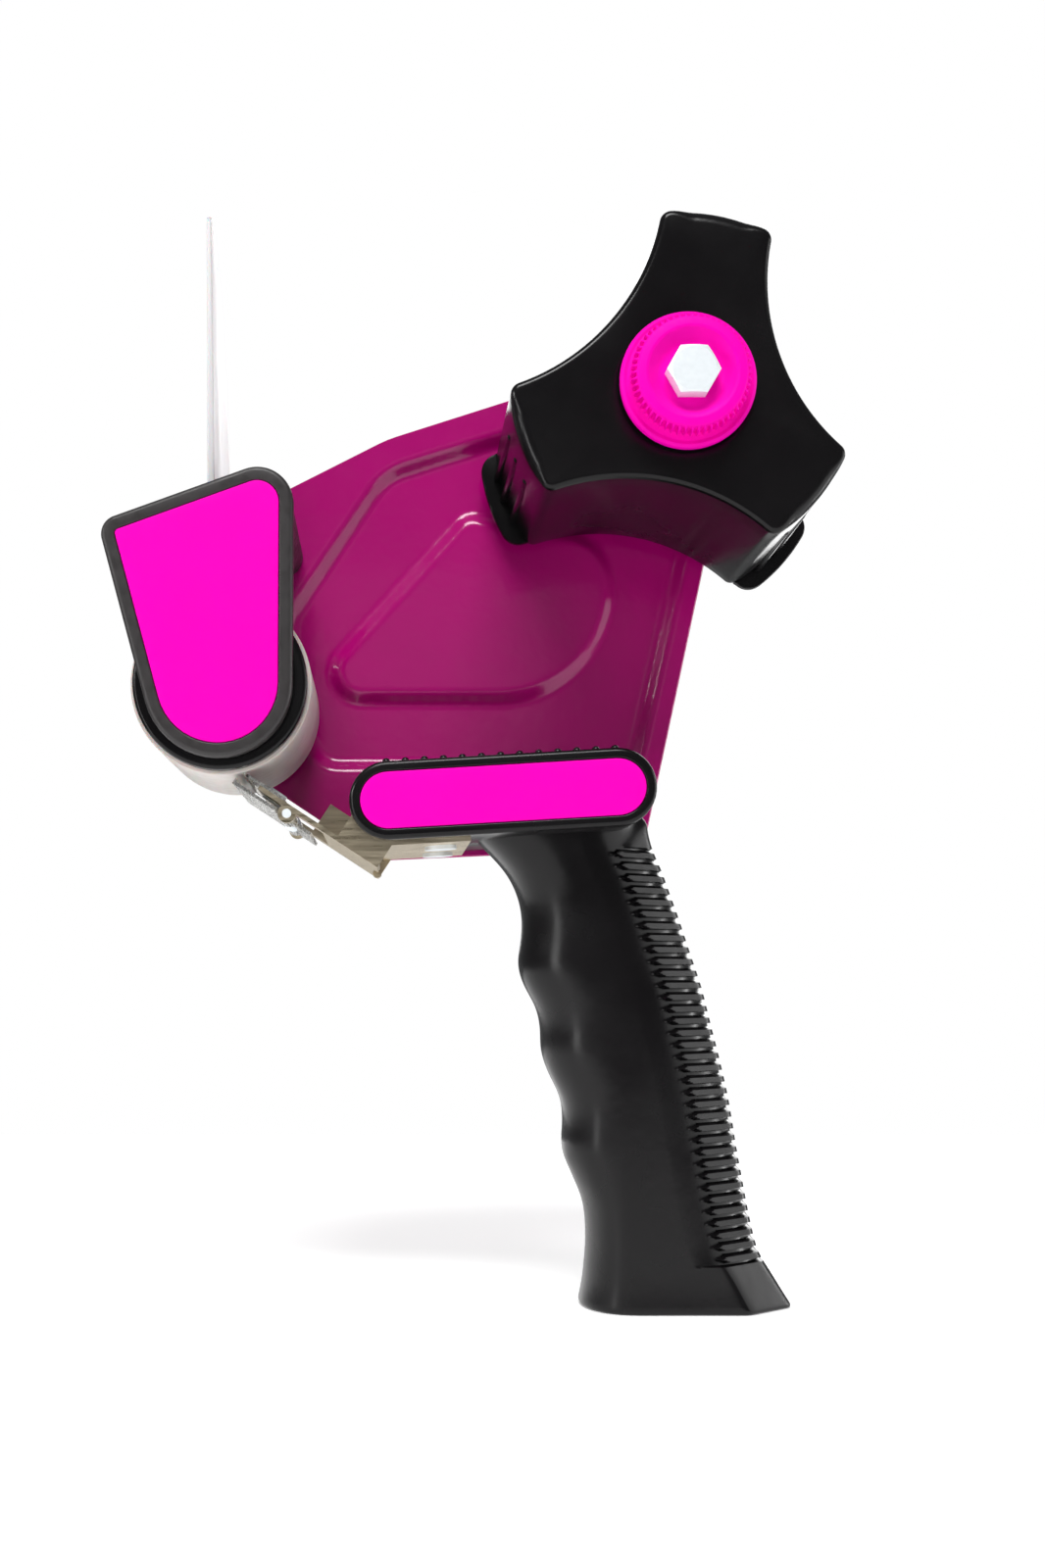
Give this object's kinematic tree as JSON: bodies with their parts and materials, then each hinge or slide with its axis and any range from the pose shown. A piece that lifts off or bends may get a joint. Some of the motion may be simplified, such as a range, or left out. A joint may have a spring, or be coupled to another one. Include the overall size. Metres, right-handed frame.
{
  "type": "tape gun dispenser",
  "caption": "Hand-held tape gun with a pressed steel side plate, three-armed core holder with brake knob, front roller, guarded blade, upright flap and finger-grooved grip.",
  "frame": {"origin": "on the tape-core axis, in the mid-plane of the 50 mm tape", "axes": "+X from the front roller towards the core, +Y from the open side towards the side plate, +Z from the handle towards the core"},
  "size_m": [0.1648, 0.0733, 0.2474],
  "materials": {
    "plate_paint": "gloss",
    "magenta_plastic": "satin",
    "black_gloss": "gloss",
    "black_matte": "matte",
    "drum_plastic": "satin",
    "flap_plastic": "translucent",
    "zinc_steel": "bright zinc plating",
    "knife_steel": "yellow-passivated zinc",
    "blade_steel": "ground",
    "fibre": "matte"
  },
  "bodies": {
    "frame": {"side_plate": "plate_paint", "axle_nut": "zinc_steel", "axle_sleeve": "zinc_steel", "rear_washer": "flap_plastic", "friction_disc": "fibre", "brake_washer": "zinc_steel", "brake_spring": "zinc_steel", "roller_axle": "zinc_steel", "roller_nut": "zinc_steel", "front_cheek": "black_matte", "cheek_insert": "magenta_plastic", "spacer_post": "black_matte", "post_screw": "zinc_steel", "flap_rod": "zinc_steel", "knife_bracket": "knife_steel", "blade": "blade_steel", "blade_rivets": "zinc_steel", "guard_pin": "zinc_steel", "handle_near_half": "black_gloss", "handle_far_half": "black_gloss", "platform_insert": "magenta_plastic", "grip_screws": "zinc_steel", "plate_screws": "zinc_steel", "shelf_screws": "zinc_steel"},
    "hub": {"core_hub": "black_gloss", "hub_bushing": "flap_plastic"},
    "thrust": {"thrust_washer": "zinc_steel"},
    "knob": {"tension_knob": "magenta_plastic", "knob_bolt": "zinc_steel"},
    "roller": {"roller_drum": "drum_plastic", "roller_cap_near": "black_gloss", "roller_cap_far": "black_gloss"},
    "flap": {"tape_flap": "flap_plastic"},
    "guard": {"blade_guard": "blade_steel", "guard_spring": "zinc_steel"}
  },
  "joints": [
    {"name": "hub_spin", "type": "hinge", "parent": "frame", "child": "hub", "pos_m": [0, 0, 0], "axis": [0, 1, 0], "continuous": true},
    {"name": "knob_travel", "type": "slide", "parent": "frame", "child": "thrust", "axis": [0, 1, 0], "range_m": [-0.002, 0.00063], "deforming": ["brake_spring"]},
    {"name": "knob_turn", "type": "hinge", "parent": "thrust", "child": "knob", "pos_m": [0, 0, 0], "axis": [0, 1, 0], "range_deg": [-720, 225]},
    {"name": "roller_spin", "type": "hinge", "parent": "frame", "child": "roller", "pos_m": [-0.1016, 0, -0.0648], "axis": [0, 1, 0], "continuous": true},
    {"name": "flap_swing", "type": "hinge", "parent": "frame", "child": "flap", "pos_m": [-0.10385, 0, -0.038], "axis": [0, 1, 0], "range_deg": [-120, 20]},
    {"name": "guard_tilt", "type": "hinge", "parent": "frame", "child": "guard", "pos_m": [-0.08715, 0, -0.0932], "axis": [0, 1, 0], "range_deg": [-25, 0], "stiffness_Nm_per_rad": 0.05, "springref_deg": 17.19}
  ],
  "couplings": [
    {"joint": "knob_turn", "follows": "knob_travel", "rad_per_m": 6283.2}
  ]
}
